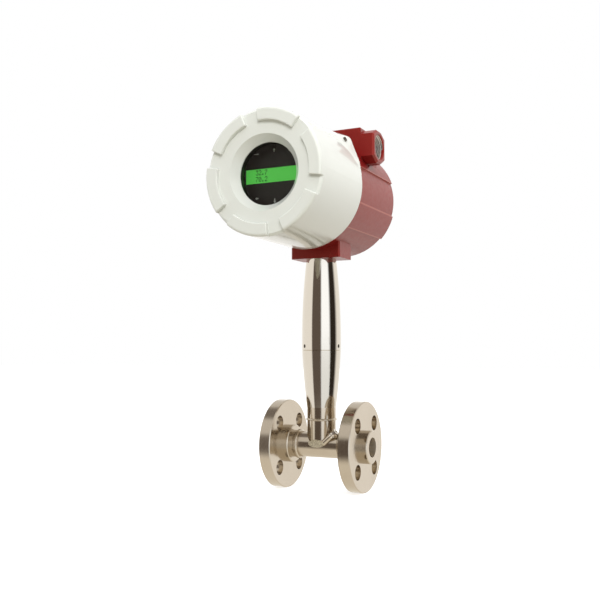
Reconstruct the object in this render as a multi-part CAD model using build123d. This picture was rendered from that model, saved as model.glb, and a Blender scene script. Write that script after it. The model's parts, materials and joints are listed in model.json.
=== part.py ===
from build123d import *
import math
import os

# Vortex flow meter with flanged flow tube, stainless post and two chamber head.
# Millimetres. Origin: centre of the inlet sealing face. +X is the flow, -Y the display, +Z up.

os.makedirs("parts", exist_ok=True)

# Flow section
FACE_TO_FACE = 117.0
FLANGE_T = 13.0
FLANGE_EDGE = 6.3
RAISED_D = 34.9
RAISED_H = 7.0
BORE_D = 20.8
BOLT_CIRCLE_D = 66.7
BOLT_HOLE_D = 15.9
BOLT_COUNT = 4
FLANGE_D = BOLT_CIRCLE_D + BOLT_HOLE_D + 2 * FLANGE_EDGE
HUB_D = 40.5
HUB_L = 7.0
GROOVE_D = 29.2
GROOVE_L = 3.6
COLLAR_D = 31.2
COLLAR_L = 4.7
TUBE_D = 27.4
TUBE_BORE_D = 20.0
LEAD_IN_L = 2.0
EDGE_BREAK = 0.8

# Shedder bar and sensor
BAR_FRONT_W = 5.6
BAR_BACK_W = 2.6
BAR_L = 7.0
BAR_AHEAD = 12.0
BAR_GAP = 0.04
VANE_T = 1.6
VANE_L = 7.0
VANE_DROP = 7.0
HEAD_D = 17.8
HEAD_FLANGE_D = 24.4
HEAD_FLANGE_T = 3.0
HEAD_BOSS_D = 12.0
HEAD_BOSS_H = 4.0
PROBE_D = 3.0
PROBE_BEHIND = 6.0
PROBE_TIP_Z = -3.0

# Neck and post
NECK_D = 31.0
NECK_FOOT_Z = 26.4
NECK_TOP_Z = 40.4
NECK_BORE_D = 19.0
SPIGOT_D = 24.4
SPIGOT_H = 11.6
WELD_BEAD_D = 33.6
WELD_BEAD_H = 2.4
SADDLE_LONG = 19.0
SADDLE_TALL = 8.2
SADDLE_Z = 2.55
SADDLE_PROUD = 0.2
SEAM_Z = 101.7
POST_TOP_Z = 200.6
POST_FOOT_D = 31.4
POST_LOW_MID_D = 38.7
POST_SEAM_D = 42.2
POST_HIGH_MID_D = 40.8
POST_TOP_D = 32.7
POST_WALL = 2.4
POST_COLLAR_L = 11.0
JOINT_SPIGOT_L = 9.0
HEAD_SPIGOT_D = 22.2
HEAD_SPIGOT_L = 15.0
LEAD_D = 5.0
FEED_D = 12.0
FEED_H = 14.0
SEAM_SCREW_D = 4.0
SEAM_SCREW_UP = 4.4
SEAM_SCREW_SINK = 0.5
SEAM_SCREW_ANGLES = (-5.0, 115.0, 235.0)

# Pressure fitting beside the neck
PORT_X = 7.2
PORT_Y = -12.6
PORT_Z = 2.8
PORT_TILT = 41.0
PORT_BOSS_D = 6.4
PORT_BOSS_L = 12.0
PORT_BODY_D = 6.0
PORT_BODY_L = 4.8
PORT_GROOVE_D = 4.8
PORT_GROOVE_L = 1.2
PLUG_FLATS = 6.4
PLUG_L = 3.4
PLUG_SOCKET_FLATS = 2.5
PLUG_SOCKET_DEPTH = 1.6

# Enclosure, about its own axis along Y
BODY_D = 124.6
PEDESTAL_STAND = 8.4
AXIS_Z = POST_TOP_Z + PEDESTAL_STAND + BODY_D / 2
BODY_FRONT_Y = -36.9
BODY_BACK_Y = 65.5
PANEL_DEPTH = 1.6
SIDE_PANEL = (-16.5, 19.0)
LOW_PANEL = (-90.0, -43.2)
NOSE_D = 114.2
NOSE_L = 20.0
FRONT_BORE_D = 100.0
DIVIDER_Y = -24.0
DIVIDER_T = 4.0
WIRE_HOLE_D = 10.0
WIRE_HOLE_AT = (30.0, 10.0)
REAR_BORE_D = 96.0
MOUTH_D = 100.2
MOUTH_L = 15.0
BLOCK_HALF_W = 54.2
BLOCK_FRONT_Y = -18.5
BLOCK_BACK_Y = 28.3
BLOCK_RISE = 3.6
BLOCK_TOP = BODY_D / 2 + BLOCK_RISE
PORT_AXIS_Y = -1.3
PORT_BELOW_TOP = 19.7
PORT_AXIS_UP = BLOCK_TOP - PORT_BELOW_TOP
PORT_END_X = 68.9
PORT_HALF_W = 17.2
PORT_HALF_H = 17.9
PORT_FLAT = 12.0
PORT_BEVEL = 2.0
CONDUIT_D = 26.0
CONDUIT_L = 24.0
CONDUIT_MOUTH_D = 28.0
PASSAGE_D = 18.0
PASSAGE_END_X = 6.0
PEDESTAL_HALF_W = 28.6
PEDESTAL_HALF_D = 16.8
CAST_EDGE = 2.0

# White display cover
COVER_FRONT_D = 125.2
COVER_BACK_D = 127.0
COVER_BACK_Y = -37.3
COVER_FACE_Y = -133.2
ARC_H = 4.5
ARC_INNER_D = 99.2
ARC_SPAN = 44.0
ARC_COUNT = 6
ARC_START = 51.5
BEVEL_D = 74.6
WINDOW_D = 61.4
WINDOW_Y = -124.2
LIP_T = 1.2
GLASS_D = 75.6
GLASS_T = 6.0
GASKET_T = 1.0
RETAINER_T = 4.0
RETAINER_INNER_D = 64.0
POCKET_D = 76.0
POCKET_WALL = 4.0
POCKET_END_Y = -111.0
COVER_FRONT_WALL = 7.2
COVER_BORE_D = 116.4
THREAD_CLEAR = 0.1
THREAD_L = 24.0
LUG_L = 48.0
LUG_TAPER = 8.5
LUG_SIDE_ANGLE = 21.3
LUG_SIDE_RISE = 1.3
LUG_TOP_ANGLE = 67.3
LUG_TOP_RISE = 2.8
LUG_ROUND = 8.5
LUG_SIDE_OUT = COVER_BACK_D / 2 + LUG_SIDE_RISE
LUG_TOP_OUT = COVER_BACK_D / 2 + LUG_TOP_RISE
LOCK_Y = -51.0
LOCK_ALONG = 23.9
LOCK_D = 5.0
LOCK_L = 10.0
SOCKET_FLATS = 2.5
SOCKET_DEPTH = 2.0

# Rear cover
REAR_FLANGE_D = 106.0
REAR_FLANGE_T = 8.0
REAR_SKIRT_L = 12.0
REAR_WALL = 5.0
REAR_LUG_OUT = 48.0
REAR_LUG_IN = 26.0
REAR_LUG_W = 9.0
REAR_LUG_H = 7.0
REAR_LUGS = 6
COVER_GAP = 0.4

# Seals
SEAL_D = 2.2
FRONT_SEAL_Y = -39.6
REAR_SEAL_SETBACK = 3.0
SEAL_GAP = 0.05
GROOVE_RATIO = 1.2

# Display and boards
PLATE_Y = -109.0
PLATE_T = 1.5
PLATE_D = 92.0
LCD_W = 63.0
LCD_H = 14.2
LCD_UP = 1.5
LCD_SINK = 0.4
LCD_BODY_W = 71.0
LCD_BODY_H = 26.8
LCD_BODY_T = 6.5
BOARD_T = 1.6
BOARD_D = 88.0
MAIN_BOARD_Y = -71.6
POWER_BOARD_Y = -45.6
BUTTON_D = 7.0
BUTTON_FLANGE_D = 9.0
BUTTON_FLANGE_T = 1.3
BUTTON_SEAT_GAP = 0.3
BUTTON_PROUD = 1.2
BUTTON_ROUND = 0.5
BUTTON_CLEAR = 0.08
BUTTON_TRAVEL = 0.5
BUTTON_REST_GAP = 0.8
SWITCH_W = 6.0
SPACER_D = 6.0
SPACER_AT = (31.0, 25.0)
# Parts on the boards: low x, high x, height off the board, low z, high z
MAIN_PARTS = (
    (-12, 12, 2.4, -10, 10),
    (16, 28, 2.0, 4, 14),
    (-30, -20, 6.0, -8, 6),
)
MAIN_CONNECTOR = (-14, 14, 8.5, -26, -20)
POWER_PARTS = (
    (-18, 8, 14.0, -12, 14),
    (12, 30, 10.0, 4, 16),
)
CAPACITOR_D = 8.0
CAPACITOR_L = 12.0
CAPACITOR_AT = ((18, -8), (28, -8))

# Terminal chamber
TERMINAL_W = 66.0
TERMINAL_H = 22.0
TERMINAL_T = 16.0
TERMINAL_UP = -8.0
TERMINAL_COUNT = 8
TERMINAL_SCREW_D = 5.0
TERMINAL_WELL_D = 6.2
TERMINAL_WELL_L = 5.0
TERMINAL_SLOT = 1.0

# Small fasteners of the casting
CLAMP_D = 5.0
CLAMP_UP = 3.6
CLAMP_SINK = 1.0
GROUND_X = 40.0
GROUND_BELOW_TOP = 8.4
GROUND_UP = BLOCK_TOP - GROUND_BELOW_TOP
GROUND_D = 9.0
GROUND_HEAD_T = 4.0
GROUND_WASHER_D = 12.0
GROUND_WASHER_T = 1.0

FIT = 0.1
POST_X = FACE_TO_FACE / 2
TUBE_START = RAISED_H + FLANGE_T + HUB_L + GROOVE_L + COLLAR_L


def write(shape, node):
    export_step(shape, f"parts/{node}.step")


def outline(points):
    """Closed face in the XY plane through the points."""
    return make_face(Polyline(*points, close=True))


def about_post(shape):
    """Moves a shape made about the Z axis onto the post axis."""
    return Pos(POST_X, 0, 0) * shape


def in_head(shape):
    """Moves a shape made about the Y axis onto the enclosure axis."""
    return Pos(POST_X, 0, AXIS_Z) * shape


def turned_x(points):
    return revolve(outline(points), axis=Axis.X)


def turned_y(points, angle=360):
    return revolve(outline(points), axis=Axis.Y, revolution_arc=angle)


def turned_z(points):
    return revolve(Plane.XZ * outline(points), axis=Axis.Z)


def rod_y(diameter, y0, y1, x=0.0, z=0.0):
    """Round rod along Y from y0 to y1."""
    return Pos(x, (y0 + y1) / 2, z) * Rot(90, 0, 0) * Cylinder(diameter / 2, y1 - y0)


def rod_x(diameter, x0, x1, y=0.0, z=0.0):
    return Pos((x0 + x1) / 2, y, z) * Rot(0, 90, 0) * Cylinder(diameter / 2, x1 - x0)


def rod_z(diameter, z0, z1, x=0.0, y=0.0):
    return Pos(x, y, (z0 + z1) / 2) * Cylinder(diameter / 2, z1 - z0)


def block(x0, x1, y0, y1, z0, z1):
    centre = Pos((x0 + x1) / 2, (y0 + y1) / 2, (z0 + z1) / 2)
    return centre * Box(x1 - x0, y1 - y0, z1 - z0)


def hex_socket(flats, depth):
    """Hexagonal pocket tool, opening at the origin and reaching down."""
    return Pos(0, 0, -depth) * extrude(RegularPolygon(flats / 2, 6, major_radius=False), depth + 1)


# Flange with raised sealing boss, four bolt holes, stepped hub and weld collar
def make_flange():
    disc_front = RAISED_H
    disc_back = disc_front + FLANGE_T
    hub_end = disc_back + HUB_L
    collar_start = hub_end + GROOVE_L
    collar_end = collar_start + COLLAR_L
    bore = BORE_D / 2
    collar_round = 1.2
    profile = [
        (0, bore),
        (0, RAISED_D / 2 - EDGE_BREAK),
        (EDGE_BREAK, RAISED_D / 2),
        (disc_front, RAISED_D / 2),
        (disc_front, FLANGE_D / 2 - EDGE_BREAK),
        (disc_front + EDGE_BREAK, FLANGE_D / 2),
        (disc_back - EDGE_BREAK, FLANGE_D / 2),
        (disc_back, FLANGE_D / 2 - EDGE_BREAK),
        (disc_back, HUB_D / 2),
        (hub_end - EDGE_BREAK, HUB_D / 2),
        (hub_end, HUB_D / 2 - EDGE_BREAK),
        (hub_end, GROOVE_D / 2),
        (collar_start, GROOVE_D / 2),
        (collar_start, COLLAR_D / 2 - collar_round),
        (collar_start + collar_round, COLLAR_D / 2),
        (collar_end - collar_round, COLLAR_D / 2),
        (collar_end, COLLAR_D / 2 - collar_round),
        (collar_end, bore),
    ]
    flange = turned_x(profile)
    for i in range(BOLT_COUNT):
        angle = math.radians(360 / BOLT_COUNT * (i + 0.5))
        y = BOLT_CIRCLE_D / 2 * math.cos(angle)
        z = BOLT_CIRCLE_D / 2 * math.sin(angle)
        flange -= rod_x(BOLT_HOLE_D, disc_front - 1, disc_back + 1, y, z)
    return flange


inlet_flange = make_flange()
outlet_flange = mirror(inlet_flange, about=Plane.YZ.offset(POST_X))
write(inlet_flange, "inlet_flange")
write(outlet_flange, "outlet_flange")


# Flow tube with the stub for the neck, the weld saddle and the boss of the pressure fitting
def port_frame(along):
    """Place on the axis of the slanted pressure fitting, local Z along it."""
    return Pos(POST_X + PORT_X, PORT_Y, PORT_Z) * Rot(0, 90 - PORT_TILT, 0) * Pos(0, 0, along)


def make_flow_tube():
    tube_end = FACE_TO_FACE - TUBE_START
    tube = rod_x(TUBE_D, TUBE_START, tube_end)
    tube += about_post(rod_z(NECK_D, 0, NECK_FOOT_Z))
    # Oval pads where the neck is ground back to the pipe, front and back
    oval = Plane.XZ * Pos(0, SADDLE_Z, 0) * Ellipse(SADDLE_LONG / 2, SADDLE_TALL / 2)
    depth = TUBE_D / 2 + SADDLE_PROUD
    pad = extrude(oval, depth, both=True)
    tube -= about_post(extrude(oval, NECK_D, both=True) - pad)
    tube += about_post(pad)
    tube += port_frame(PORT_BOSS_L / 2) * Cylinder(PORT_BOSS_D / 2, PORT_BOSS_L)
    wide = BORE_D / 2
    narrow = TUBE_BORE_D / 2
    tube -= turned_x([
        (TUBE_START - 1, 0),
        (TUBE_START - 1, wide),
        (TUBE_START, wide),
        (TUBE_START + LEAD_IN_L, narrow),
        (tube_end - LEAD_IN_L, narrow),
        (tube_end, wide),
        (tube_end + 1, wide),
        (tube_end + 1, 0),
    ])
    tube -= about_post(rod_z(HEAD_D + 2 * FIT, 0, NECK_FOOT_Z + 1))
    return tube


write(make_flow_tube(), "flow_tube")


# Shedder bar: trapezoid across the bore, blunt side upstream
def make_shedder_bar():
    start = POST_X - BAR_AHEAD - BAR_L / 2
    section = outline([
        (start, -BAR_FRONT_W / 2),
        (start, BAR_FRONT_W / 2),
        (start + BAR_L, BAR_BACK_W / 2),
        (start + BAR_L, -BAR_BACK_W / 2),
    ])
    bar = Pos(0, 0, -TUBE_BORE_D) * extrude(section, 2 * TUBE_BORE_D)
    return bar & rod_x(TUBE_BORE_D - BAR_GAP, start - 1, start + BAR_L + 1)


write(make_shedder_bar(), "shedder_bar")


# Vortex sensor: vane in the stream under a sealing head that the neck clamps
def make_vortex_sensor():
    head_foot = TUBE_BORE_D / 2 + 2
    flange_top = NECK_FOOT_Z + HEAD_FLANGE_T
    sensor = rod_z(HEAD_D, head_foot, NECK_FOOT_Z)
    sensor += rod_z(HEAD_FLANGE_D, NECK_FOOT_Z, flange_top)
    sensor += rod_z(HEAD_BOSS_D, flange_top, flange_top + HEAD_BOSS_H)
    sensor += block(-VANE_L, 0, -VANE_T / 2, VANE_T / 2, -VANE_DROP, head_foot)
    sensor -= rod_z(PROBE_D + 2 * FIT, 0, flange_top + 1, x=PROBE_BEHIND - 2)
    return about_post(sensor)


write(make_vortex_sensor(), "vortex_sensor")
probe = rod_z(PROBE_D, PROBE_TIP_Z, NECK_FOOT_Z + HEAD_FLANGE_T, x=PROBE_BEHIND - 2)
write(about_post(probe), "temperature_probe")


# Sensor neck with its weld bead at the foot and the spigot that carries the post
def make_sensor_neck():
    clamp_z = NECK_FOOT_Z + HEAD_FLANGE_T + FIT
    spigot_top = NECK_TOP_Z + SPIGOT_H
    recess = HEAD_FLANGE_D / 2 + FIT
    bead_mid = NECK_FOOT_Z + WELD_BEAD_H / 2
    neck = turned_z([
        (recess, NECK_FOOT_Z),
        (NECK_D / 2, NECK_FOOT_Z),
        (WELD_BEAD_D / 2, bead_mid - 0.4),
        (WELD_BEAD_D / 2, bead_mid + 0.4),
        (NECK_D / 2, NECK_FOOT_Z + WELD_BEAD_H),
        (NECK_D / 2, NECK_TOP_Z),
        (SPIGOT_D / 2, NECK_TOP_Z),
        (SPIGOT_D / 2, spigot_top),
        (NECK_BORE_D / 2, spigot_top),
        (NECK_BORE_D / 2, clamp_z),
        (recess, clamp_z),
    ])
    return about_post(neck)


write(make_sensor_neck(), "sensor_neck")


# Post: two barrelled halves, widest at the seam
def make_lower_post():
    foot = POST_FOOT_D / 2
    seam = POST_SEAM_D / 2
    mid = POST_LOW_MID_D / 2
    mid_z = (NECK_TOP_Z + SEAM_Z) / 2 + 4
    bore = SPIGOT_D / 2 + FIT
    collar_top = NECK_TOP_Z + POST_COLLAR_L
    joint = seam - POST_WALL - FIT
    side = ThreePointArc((foot, NECK_TOP_Z), (mid, mid_z), (seam, SEAM_Z - EDGE_BREAK / 2))
    rest = Polyline(
        (seam, SEAM_Z - EDGE_BREAK / 2),
        (seam - EDGE_BREAK / 2, SEAM_Z),
        (joint, SEAM_Z),
        (joint, SEAM_Z + JOINT_SPIGOT_L),
        (joint - POST_WALL, SEAM_Z + JOINT_SPIGOT_L),
        (joint - POST_WALL, SEAM_Z - JOINT_SPIGOT_L),
        (bore, collar_top),
        (bore, NECK_TOP_Z),
        (foot, NECK_TOP_Z),
    )
    lower = revolve(Plane.XZ * make_face(side + rest), axis=Axis.Z)
    return about_post(lower)


def seam_screw_place(angle):
    """Outer end of a seam screw, local Z pointing outwards."""
    out = POST_SEAM_D / 2 - SEAM_SCREW_SINK
    up = SEAM_Z + SEAM_SCREW_UP
    return Pos(POST_X, 0, up) * Rot(0, 0, angle) * Pos(out, 0, 0) * Rot(0, 90, 0)


def make_upper_post():
    seam = POST_SEAM_D / 2
    mid = POST_HIGH_MID_D / 2
    top = POST_TOP_D / 2
    mid_z = (SEAM_Z + POST_TOP_Z) / 2 - 1
    wall = POST_WALL
    spigot = HEAD_SPIGOT_D / 2
    lead_bore = LEAD_D / 2 + 1
    spigot_top = POST_TOP_Z + HEAD_SPIGOT_L
    collar_low = POST_TOP_Z - POST_COLLAR_L
    side = ThreePointArc((seam, SEAM_Z + EDGE_BREAK / 2), (mid, mid_z), (top, POST_TOP_Z))
    rest = Polyline(
        (top, POST_TOP_Z),
        (spigot, POST_TOP_Z),
        (spigot, spigot_top),
        (lead_bore, spigot_top),
        (lead_bore, collar_low),
        (top - wall - 1, collar_low - wall),
        (seam - wall, SEAM_Z + JOINT_SPIGOT_L + 2),
        (seam - wall, SEAM_Z),
        (seam - EDGE_BREAK / 2, SEAM_Z),
        (seam, SEAM_Z + EDGE_BREAK / 2),
    )
    upper = about_post(revolve(Plane.XZ * make_face(side + rest), axis=Axis.Z))
    for angle in SEAM_SCREW_ANGLES:
        upper -= seam_screw_place(angle) * Cylinder(SEAM_SCREW_D / 2 + FIT / 2, 12)
    return upper


def make_seam_screws():
    screws = []
    length = POST_WALL - SEAM_SCREW_SINK - 0.02
    for angle in SEAM_SCREW_ANGLES:
        place = seam_screw_place(angle)
        screw = place * Pos(0, 0, -length / 2) * Cylinder(SEAM_SCREW_D / 2, length)
        screw -= place * hex_socket(2.0, 1.2)
        screws.append(screw)
    return Compound(children=screws)


write(make_lower_post(), "lower_post")
write(make_upper_post(), "upper_post")
write(make_seam_screws(), "post_seam_screws")

# Sensor lead in the post and the potted feedthrough it ends in
lead_foot = NECK_FOOT_Z + HEAD_FLANGE_T + HEAD_BOSS_H
lead_top = POST_TOP_Z + HEAD_SPIGOT_L
write(about_post(rod_z(LEAD_D, lead_foot, lead_top)), "sensor_lead")
write(about_post(rod_z(FEED_D, lead_top, lead_top + FEED_H)), "sensor_feedthrough")


# Pressure fitting and its hexagon plug, slanted beside the neck
def make_pressure_fitting():
    middle = PORT_BOSS_L + PORT_BODY_L / 2
    body = port_frame(middle) * Cylinder(PORT_BODY_D / 2, PORT_BODY_L)
    groove = Cylinder(PORT_BODY_D, PORT_GROOVE_L) - Cylinder(PORT_GROOVE_D / 2, PORT_GROOVE_L)
    return body - port_frame(middle) * groove


def make_pressure_plug():
    start = PORT_BOSS_L + PORT_BODY_L
    hexagon = extrude(RegularPolygon(PLUG_FLATS / 2, 6, major_radius=False), PLUG_L)
    plug = port_frame(start) * hexagon
    plug -= port_frame(start + PLUG_L) * hex_socket(PLUG_SOCKET_FLATS, PLUG_SOCKET_DEPTH)
    return plug


write(make_pressure_fitting(), "pressure_fitting")
write(make_pressure_plug(), "pressure_plug")


def ring_y(outer, inner, y0, y1):
    return rod_y(outer, y0, y1) - rod_y(inner, y0 - 1, y1 + 1)


def seal_groove(rim, y):
    """Cutter for the groove of a round seal in a rim of this diameter."""
    half = SEAL_D * GROOVE_RATIO / 2
    return ring_y(rim + 2, rim - 2 * SEAL_D, y - half, y + half)


def seal_ring(wall, y):
    """Round seal that all but touches a bore of this diameter."""
    radius = SEAL_D / 2
    ring = Torus(wall / 2 - SEAL_GAP - radius, radius)
    return Pos(0, y, 0) * Rot(90, 0, 0) * ring


# Enclosure: one casting with panelled barrel, top block, two conduit hubs and pedestal
def make_panels():
    """Shallow panels sunk along the barrel, on both sides."""
    cuts = []
    radius = BODY_D / 2
    length = BODY_BACK_Y - BODY_FRONT_Y
    for low, high in (SIDE_PANEL, LOW_PANEL):
        for top in (high, 180 - low):
            strip = outline([
                (radius - PANEL_DEPTH, BODY_FRONT_Y - 1),
                (radius + 2, BODY_FRONT_Y - 1),
                (radius + 2, BODY_FRONT_Y + length + 1),
                (radius - PANEL_DEPTH, BODY_FRONT_Y + length + 1),
            ])
            sector = revolve(strip, axis=Axis.Y, revolution_arc=high - low)
            cuts.append(Rot(0, -top, 0) * sector)
    return cuts


def make_conduit_hub():
    """Hub on the +X side of the top block, about its own bore axis along X."""
    outer = [
        (-PORT_HALF_W, -PORT_FLAT),
        (-PORT_HALF_W, PORT_FLAT),
        (-PORT_HALF_W + PORT_FLAT, PORT_HALF_H),
        (PORT_HALF_W - PORT_FLAT, PORT_HALF_H),
        (PORT_HALF_W, PORT_FLAT),
        (PORT_HALF_W, -PORT_FLAT),
        (PORT_HALF_W - PORT_FLAT, -PORT_HALF_H),
        (-PORT_HALF_W + PORT_FLAT, -PORT_HALF_H),
    ]
    hub = extrude(Plane.YZ * outline(outer), PORT_END_X)
    hub = chamfer(hub.faces().sort_by(Axis.X)[-1].edges(), PORT_BEVEL)
    return Pos(0, PORT_AXIS_Y, PORT_AXIS_UP) * hub


def make_enclosure():
    back = BODY_BACK_Y
    body = rod_y(BODY_D, BODY_FRONT_Y, back)
    for cut in make_panels():
        body -= cut
    pedestal_foot = POST_TOP_Z - AXIS_Z
    pedestal = block(-PEDESTAL_HALF_W, PEDESTAL_HALF_W, -PEDESTAL_HALF_D, PEDESTAL_HALF_D,
                     pedestal_foot, -BODY_D / 4)
    pedestal = fillet(pedestal.edges().filter_by(Axis.Z), CAST_EDGE)
    top = block(-BLOCK_HALF_W, BLOCK_HALF_W, BLOCK_FRONT_Y, BLOCK_BACK_Y, 0, BLOCK_TOP)
    top = fillet(top.faces().sort_by(Axis.Z)[-1].edges(), CAST_EDGE)
    body += pedestal
    body += top
    hub = make_conduit_hub()
    body += hub
    body += mirror(hub, about=Plane.YZ)
    body += rod_y(NOSE_D, BODY_FRONT_Y - NOSE_L, BODY_FRONT_Y)
    # Front chamber, divider, rear chamber with its threaded mouth
    body -= rod_y(FRONT_BORE_D, BODY_FRONT_Y - NOSE_L - 1, DIVIDER_Y)
    body -= rod_y(REAR_BORE_D, DIVIDER_Y + DIVIDER_T, back + 1)
    body -= rod_y(MOUTH_D, back - MOUTH_L, back + 1)
    wire_x, wire_z = WIRE_HOLE_AT
    body -= rod_y(WIRE_HOLE_D, DIVIDER_Y - 1, DIVIDER_Y + DIVIDER_T + 1, x=wire_x, z=wire_z)
    # Seal groove of the display cover
    body -= seal_groove(NOSE_D, FRONT_SEAL_Y)
    # Conduit bores with countersunk mouths, and the passages into the rear chamber
    for side in (-1, 1):
        mouth = side * PORT_END_X
        inner = side * (PORT_END_X - CONDUIT_L)
        low, high = sorted((mouth + side, inner))
        body -= rod_x(CONDUIT_D, low, high, PORT_AXIS_Y, PORT_AXIS_UP)
        low, high = sorted((inner + side, side * PASSAGE_END_X))
        body -= rod_x(PASSAGE_D, low, high, PORT_AXIS_Y, PORT_AXIS_UP)
        depth = (CONDUIT_MOUTH_D - CONDUIT_D) / 2
        cone = Cone(CONDUIT_D / 2, CONDUIT_MOUTH_D / 2, depth)
        place = Pos(mouth - side * depth / 2, PORT_AXIS_Y, PORT_AXIS_UP)
        body -= place * Rot(0, 90 * side, 0) * cone
    # Post spigot bore, lead hole, and screw holes behind
    spigot = HEAD_SPIGOT_D + 2 * FIT
    body -= rod_z(spigot, pedestal_foot - 1, pedestal_foot + HEAD_SPIGOT_L)
    body -= rod_z(FEED_D + 2 * FIT, pedestal_foot + 1, -REAR_BORE_D / 4)
    clamp_z = pedestal_foot + CLAMP_UP
    body -= rod_y(CLAMP_D + FIT, HEAD_SPIGOT_D / 2, PEDESTAL_HALF_D + 1, z=clamp_z)
    return in_head(body)


write(make_enclosure(), "enclosure_body")


# Clamp screw through the pedestal onto the post spigot
def make_clamp_screw():
    low = HEAD_SPIGOT_D / 2 + 0.02
    high = PEDESTAL_HALF_D - CLAMP_SINK
    height = POST_TOP_Z + CLAMP_UP
    screw = rod_y(CLAMP_D, low, high, x=POST_X, z=height)
    screw -= Pos(POST_X, high, height) * Rot(-90, 0, 0) * hex_socket(3.0, 2.5)
    return screw


write(make_clamp_screw(), "post_clamp_screw")


# Ground screw with washer on the back of the top block
def make_ground_screw():
    foot = BLOCK_BACK_Y
    height = AXIS_Z + GROUND_UP
    x = POST_X + GROUND_X
    washer_end = foot + GROUND_WASHER_T
    head_end = washer_end + GROUND_HEAD_T
    head = Plane.XZ * RegularPolygon(GROUND_D / 2, 6, major_radius=False)
    screw = Pos(x, head_end, height) * extrude(head, GROUND_HEAD_T)
    screw += rod_y(GROUND_WASHER_D, foot, washer_end, x=x, z=height)
    screw -= Pos(x, head_end, height) * Box(1.2, 2.4, GROUND_D + 2)
    return screw


write(make_ground_screw(), "ground_screw")


# White display cover: long barrel, bevelled window, six raised arcs, lock lug
def make_front_cover():
    front = COVER_FRONT_D / 2
    back = COVER_BACK_D / 2
    bore = COVER_BORE_D / 2
    thread = NOSE_D / 2 + THREAD_CLEAR
    thread_end = COVER_BACK_Y - THREAD_L
    inner_face = COVER_FACE_Y + COVER_FRONT_WALL
    lip_back = WINDOW_Y + LIP_T
    pocket = POCKET_D / 2
    rim_round = 2.4
    shell = turned_y([
        (WINDOW_D / 2, lip_back),
        (WINDOW_D / 2, WINDOW_Y),
        (BEVEL_D / 2, COVER_FACE_Y),
        (front - rim_round, COVER_FACE_Y),
        (front, COVER_FACE_Y + rim_round),
        (back, COVER_BACK_Y - 1),
        (back - 1, COVER_BACK_Y),
        (thread, COVER_BACK_Y),
        (thread, thread_end),
        (bore, thread_end - 2),
        (bore, inner_face),
        (pocket + POCKET_WALL, inner_face),
        (pocket + POCKET_WALL, POCKET_END_Y),
        (pocket, POCKET_END_Y),
        (pocket, lip_back),
    ])
    shell += make_lug()
    crest = COVER_FACE_Y - ARC_H
    inner = ARC_INNER_D / 2
    section = make_face(
        Polyline((inner, COVER_FACE_Y + 1), (inner, crest + 1.2))
        + ThreePointArc((inner, crest + 1.2), (inner + 0.35, crest + 0.35), (inner + 1.2, crest))
        + Polyline((inner + 1.2, crest), (front - 3.2, crest))
        + ThreePointArc((front - 3.2, crest), (front - 0.94, crest + 0.94), (front, crest + 3.2))
        + Polyline((front, crest + 3.2), (front, COVER_FACE_Y + rim_round + 1),
                   (inner, COVER_FACE_Y + rim_round + 1), (inner, COVER_FACE_Y + 1))
    )
    arc = revolve(section, axis=Axis.Y, revolution_arc=ARC_SPAN)
    ends = [e for e in arc.edges() if e.geom_type == GeomType.LINE and abs(e.center().Y - crest) < 0.01]
    arc = fillet(ends, 1.0)
    for i in range(ARC_COUNT):
        top = ARC_START + ARC_SPAN + i * 360 / ARC_COUNT
        shell += Rot(0, -top, 0) * arc
    shell -= lock_place() * Pos(0, 0, -LOCK_L) * Cylinder(LOCK_D / 2 + FIT / 2, 4 * LOCK_L)
    return in_head(shell)


def lug_corner(side_out, top_out):
    """Corner where the lug's two flats meet, in the plane across the cover axis."""
    a = math.radians(LUG_SIDE_ANGLE)
    b = math.radians(LUG_TOP_ANGLE)
    det = math.sin(b - a)
    x = (side_out * math.sin(b) - top_out * math.sin(a)) / det
    z = (top_out * math.cos(a) - side_out * math.cos(b)) / det
    return x, z


def make_lug():
    """Lock lug: two flats that meet in a rounded corner, fading into the barrel towards the front."""
    barrel = COVER_BACK_D / 2 - 0.1
    corner = lug_corner(LUG_SIDE_OUT, LUG_TOP_OUT)
    side_tangent = LUG_SIDE_ANGLE - math.degrees(math.acos(barrel / LUG_SIDE_OUT))
    top_tangent = LUG_TOP_ANGLE + math.degrees(math.acos(barrel / LUG_TOP_OUT))
    rim = [
        (barrel, side_tangent),
        (LUG_SIDE_OUT, LUG_SIDE_ANGLE),
        (LUG_TOP_OUT, LUG_TOP_ANGLE),
        (barrel, top_tangent),
    ]
    points = [(r * math.cos(math.radians(a)), r * math.sin(math.radians(a))) for r, a in rim]
    section = outline([(0, 0), points[0], points[1], corner, points[2], points[3]])
    tip = section.vertices().sort_by_distance((corner[0], corner[1], 0))[0]
    section = fillet(tip, LUG_ROUND)
    lug = extrude(Plane.XZ * section, LUG_L, taper=LUG_TAPER)
    lug = Pos(0, COVER_BACK_Y, 0) * lug
    return lug - rod_y(COVER_BACK_D - 4, COVER_BACK_Y - LUG_L - 1, COVER_BACK_Y + 1)


def lock_place():
    """Mouth of the lock screw's hole on the lug's side flat, local Z pointing outwards."""
    a = math.radians(LUG_SIDE_ANGLE)
    x = LUG_SIDE_OUT * math.cos(a) - LOCK_ALONG * math.sin(a)
    z = LUG_SIDE_OUT * math.sin(a) + LOCK_ALONG * math.cos(a)
    return Pos(x, LOCK_Y, z) * Rot(0, 90 - LUG_SIDE_ANGLE, 0)


def make_lock_screw():
    sink = 0.8
    screw = lock_place() * Pos(0, 0, -sink - LOCK_L / 2) * Cylinder(LOCK_D / 2, LOCK_L)
    screw -= lock_place() * Pos(0, 0, -sink) * hex_socket(SOCKET_FLATS, SOCKET_DEPTH)
    return in_head(screw)


write(make_front_cover(), "front_cover")
write(make_lock_screw(), "cover_lock_screw")

# Window stack: glass against the lip, gasket, slotted retainer ring
glass_front = WINDOW_Y + LIP_T
gasket_front = glass_front + GLASS_T
retainer_front = gasket_front + GASKET_T
retainer_end = retainer_front + RETAINER_T


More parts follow.
